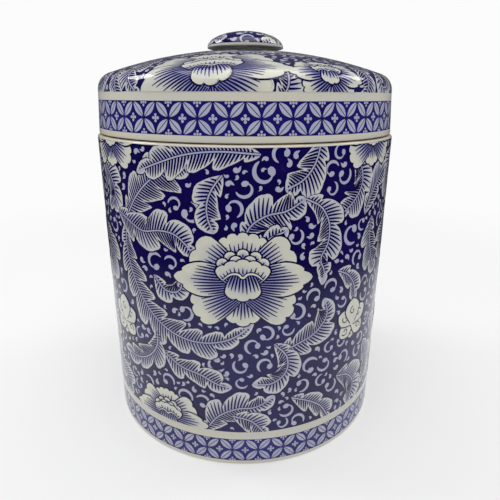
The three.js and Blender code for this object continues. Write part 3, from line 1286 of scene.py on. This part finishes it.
def knob_design(pattern, reach, seed):
    design = Design(pattern, seed, lambda x, y: KNOB_FACE, LINE_SHARE)
    x, y, heading, size, spread = KNOB_PETAL
    for turn in LID_TURNS:
        petal(design, *turned_about(x, y, turn), heading + turn, size, spread, 3, root=1.5, lines=5)
        leaves_and_curls(design, KNOB_LEAVES, KNOB_CURLS,
                         lambda x, y: turned_about(x, y, turn), turn)
    fill_gaps(design, (-reach, -reach), (reach, reach), KNOB_TRIES,
              lambda x, y: math.hypot(x, y) < reach - 1)
    return design


def within_levels(low, high):
    """Keeps a place between two heights on the wall."""
    return lambda x, y: (x, min(max(y, low / MM), high / MM))


def within_circle(reach):
    """Keeps a place inside a circle."""
    def limit(x, y):
        share = reach / MM / max(math.hypot(x, y), 1e-9)
        return (x, y) if share >= 1 else (x * share, y * share)
    return limit


def print_design(design, prefix, limit, points, glazes, body, slot, **wrapping):
    """Wraps each of a design's sheets on a piece, one finished piece for each."""
    for kind, sheet in design.sheets.items():
        if not sheet.faces:
            continue
        name = f"{prefix}_{kind}_print"
        flat = sheet.mesh(name, design.layer, limit)
        place(wrap(name, flat, points, glazes[kind], **wrapping), body, slot)


# ---------------------------------------------------------------- the stage

# Softboxes: name, place, side in metres, and the setting that holds the power.
SOFTBOXES = [
    ("top_softbox", (0, -0.15, 1.1), 1.0, "top_light"),
    ("left_softbox", (-0.8, 0.2, 0.85), 0.3, "left_light"),
    ("right_softbox", (0.8, 0.25, 0.85), 0.3, "right_light"),
]


def softbox(name, at, size, aim, watts):
    """A square area light at a place, turned towards another."""
    light = bpy.data.lights.new(name, "AREA")
    light.size = size
    light.energy = watts
    lamp = piece_from(light, name)
    lamp.location = at
    lamp.rotation_euler = (Vector(aim) - Vector(at)).to_track_quat("-Z", "Y").to_euler()


def disc(name, stage, height, paint):
    """A round sheet of paper on the floor, as wide as the floor."""
    mesh = bpy.data.meshes.new(name)
    work = bmesh.new()
    bmesh.ops.create_circle(work, cap_ends=True, segments=96, radius=stage.floor_radius)
    bmesh.ops.translate(work, verts=work.verts, vec=(0, 0, height))
    work.to_mesh(mesh)
    work.free()
    mesh.materials.append(ceramic(name + "_paper", paint, stage, roughness=MATT))
    sheet = piece_from(mesh, name)
    return sheet


def mixed(graph, output, share, first, second):
    """Shows the first shader, and the second by its share."""
    mix = graph.result("ShaderNodeMixShader", {0: share, 1: first, 2: second})
    graph.feed(graph.tree.nodes[output].inputs["Surface"], mix)


def away(graph, near, spread):
    """0 within near of the middle, 1 beyond near times spread."""
    return graph.step(graph.off_axis(graph.split(object_place(graph))), near, near * spread)


def floor_paper(graph, shader, stage):
    """Paper that takes soft shadows near the canister and glows like the backdrop further off."""
    base = tuple(stage.floor_colour)
    tint = graph.blend(cloud(graph, *PAPER_CLOUDS), base, tuple(c * 0.985 for c in base))
    graph.feed(shader.inputs["Base Color"], tint)
    shader.inputs["Specular IOR Level"].default_value = 0.1
    glow = graph.result("ShaderNodeEmission", {"Color": (*stage.backdrop, 1)})
    far = graph.math("MULTIPLY_ADD", away(graph, stage.floor_near, 3), 1 - stage.floor_glow,
                     stage.floor_glow)
    mixed(graph, "Material Output", far, shader.outputs[0], glow)


def card_paper(graph, shader, stage):
    """Black paper, clear in the middle and soft where it starts."""
    shader.inputs["Base Color"].default_value = (0, 0, 0, 1)
    shader.inputs["Specular IOR Level"].default_value = 0
    dark = graph.times(away(graph, stage.card_inside, 2.2), stage.card_dark)
    clear = graph.result("ShaderNodeBsdfTransparent")
    mixed(graph, "Material Output", dark, clear, shader.outputs[0])


# ---------------------------------------------------------------- operators


class CANISTER_OT_stage(bpy.types.Operator):
    """Set the floor, the soft lights, the surround and the camera"""

    bl_idname = "canister.stage"
    bl_label = "Set the stage"

    def execute(self, context):
        scene = context.scene
        stage = scene.canister_stage
        disc("floor", stage, 0, floor_paper)
        card = disc("reflection_card", stage, 2 * MM, card_paper)
        # Only the glaze's reflections show the card.
        card.visible_camera = card.visible_diffuse = card.visible_shadow = False
        self.surround(scene, stage)
        middle = (0, 0, BODY_HIGH.z / 2)
        for name, at, size, power in SOFTBOXES:
            softbox(name, at, size, middle, getattr(stage, power))
        self.camera(scene, stage)
        scene.view_settings.view_transform = "Standard"
        return {"FINISHED"}

    def surround(self, scene, stage):
        """The camera sees the backdrop; light and reflections see the ambient light."""
        world = bpy.data.worlds.new("surround")
        scene.world = world
        world.use_nodes = True
        graph = Graph(world.node_tree)
        seen = world.node_tree.nodes["Background"]
        seen.inputs["Color"].default_value = (*stage.backdrop, 1)
        path = graph.node("ShaderNodeLightPath").outputs
        dim = -stage.ambient * stage.gloss_dim
        strength = graph.math("MULTIPLY_ADD", path["Is Glossy Ray"], dim, stage.ambient)
        lit = graph.result("ShaderNodeBackground", {"Color": (1, 1, 1, 1), "Strength": strength})
        mixed(graph, "World Output", path["Is Camera Ray"], lit, seen.outputs[0])

    def camera(self, scene, stage):
        camera = piece_from(bpy.data.cameras.new("camera"), "camera")
        camera.data.lens = stage.lens
        camera.data.clip_start = 10 * MM
        camera.location = (0, -stage.eye_distance, stage.eye_height)
        camera.rotation_euler = (QUARTER - stage.pitch, stage.roll, -stage.yaw)
        scene.camera = camera


class CANISTER_OT_clay(bpy.types.Operator):
    """Turn the body, the domed lid and the button knob, and glaze them"""

    bl_idname = "canister.clay"
    bl_label = "Turn the clay"

    def execute(self, context):
        shape, pattern, colours = settings()
        jobs = [
            ("canister_glazed", body_stretches(shape, pattern), "canister", "body_glaze",
             "canister_body"),
            ("lid_glazed", lid_stretches(shape, pattern), "lid", "lid_glaze", "lid"),
            ("knob_glazed", knob_stretches(shape), "lid", "knob_glaze", "knob"),
        ]
        for name, stretches, *where in jobs:
            place(turn_piece(name, stretches, shape.turn_steps, glaze_set(colours)), *where)
        return {"FINISHED"}


class CANISTER_OT_borders(bpy.types.Operator):
    """Print the two lattice borders"""

    bl_idname = "canister.borders"
    bl_label = "Print the borders"

    def execute(self, context):
        shape, pattern, colours = settings()
        glaze = print_set(colours)["lattice"]
        raised = shape.relief - pattern.layer
        wall = BODY_HIGH.x - raised
        jobs = [
            ("foot_border", "canister", "body_glaze", BODY_HIGH.x, [(wall, 0), (wall, BODY_HIGH.z)],
             pattern.foot_band_low, pattern.foot_band_high),
            ("lid_border", "lid", "lid_glaze", LID_HIGH.x, lid_outside(shape, raised),
             pattern.lid_band_low, pattern.lid_band_high),
        ]
        for name, body, slot, radius, line, low, high in jobs:
            period = math.tau * radius / pattern.repeats
            cell = border_cell(period / MM, low / MM, high / MM)
            flat = cell.mesh(name, pattern.layer, within_levels(low, high))
            place(wrap(name, flat, line, glaze, wall_radius=radius, repeats=pattern.repeats,
                       period=period), body, slot)
        return {"FINISHED"}


class CANISTER_OT_wall_print(bpy.types.Operator):
    """Print the flowers, leaves and curls on the canister's wall, front and back"""

    bl_idname = "canister.wall_print"
    bl_label = "Print the wall"

    def execute(self, context):
        shape, pattern, colours = settings()
        radius = BODY_HIGH.x
        wall = radius - shape.relief + pattern.layer
        limit = within_levels(pattern.field_low, BODY_HIGH.z - pattern.rim_line)
        for side, offset in (("front", 0), ("back", math.pi * radius / MM)):
            design = wall_design(pattern, offset, pattern.seed)
            print_design(design, side, limit, [(wall, 0), (wall, BODY_HIGH.z)], print_set(colours),
                         "canister", "body_glaze", wall_radius=radius)
        return {"FINISHED"}


class CANISTER_OT_lid_print(bpy.types.Operator):
    """Print the flowers, leaves and curls on the lid's dome and on the knob"""

    bl_idname = "canister.lid_print"
    bl_label = "Print the lid and the knob"

    def execute(self, context):
        shape, pattern, colours = settings()
        sunk = shape.relief - pattern.layer
        dome, crown = lid_outside(shape, sunk), knob_outside(shape, sunk)
        dome_reach = line_length(dome) - pattern.lid_field_low
        crown_reach = line_length(crown) - line_length(crown[:KNOB_WHITE_STEPS + 1])
        on_lid = lid_design(pattern, dome_reach / MM, 1.3 * shape.shoulder / MM,
                            shape.neck / MM + 2, pattern.seed + LID_SEED)
        on_knob = knob_design(pattern, crown_reach / MM, pattern.seed + KNOB_SEED)
        for design, prefix, reach, line in ((on_lid, "lid", dome_reach, dome),
                                            (on_knob, "knob", crown_reach, crown)):
            print_design(design, prefix, within_circle(reach), line, print_set(colours), "lid",
                         prefix + "_glaze", centred=True)
        return {"FINISHED"}


class CANISTER_PT_sidebar(bpy.types.Panel):
    """The canister's steps and settings"""

    bl_idname = "CANISTER_PT_sidebar"
    bl_label = "Canister"
    bl_space_type = "VIEW_3D"
    bl_region_type = "UI"
    bl_category = "Canister"

    def draw(self, context):
        for step in STEPS:
            self.layout.operator(step.bl_idname)
        for name, group in SETTINGS.items():
            self.layout.label(text=name.replace("_", " ").capitalize())
            for setting in group.__annotations__:
                self.layout.prop(getattr(context.scene, name), setting)


SETTINGS = {
    "canister_shape": CanisterShape,
    "canister_print": CanisterPrint,
    "canister_colours": CanisterColours,
    "canister_stage": CanisterStage,
}
STEPS = (CANISTER_OT_stage, CANISTER_OT_clay, CANISTER_OT_borders, CANISTER_OT_wall_print,
         CANISTER_OT_lid_print)
CLASSES = (*SETTINGS.values(), *STEPS, CANISTER_PT_sidebar)


def register():
    for part in CLASSES:
        bpy.utils.register_class(part)
    for name, group in SETTINGS.items():
        setattr(bpy.types.Scene, name, bpy.props.PointerProperty(type=group))


def unregister():
    for name in SETTINGS:
        delattr(bpy.types.Scene, name)
    for part in reversed(CLASSES):
        bpy.utils.unregister_class(part)


def main():
    register()
    for step in STEPS:
        family, name = step.bl_idname.split(".")
        getattr(getattr(bpy.ops, family), name)()


if __name__ == "__main__":
    main()
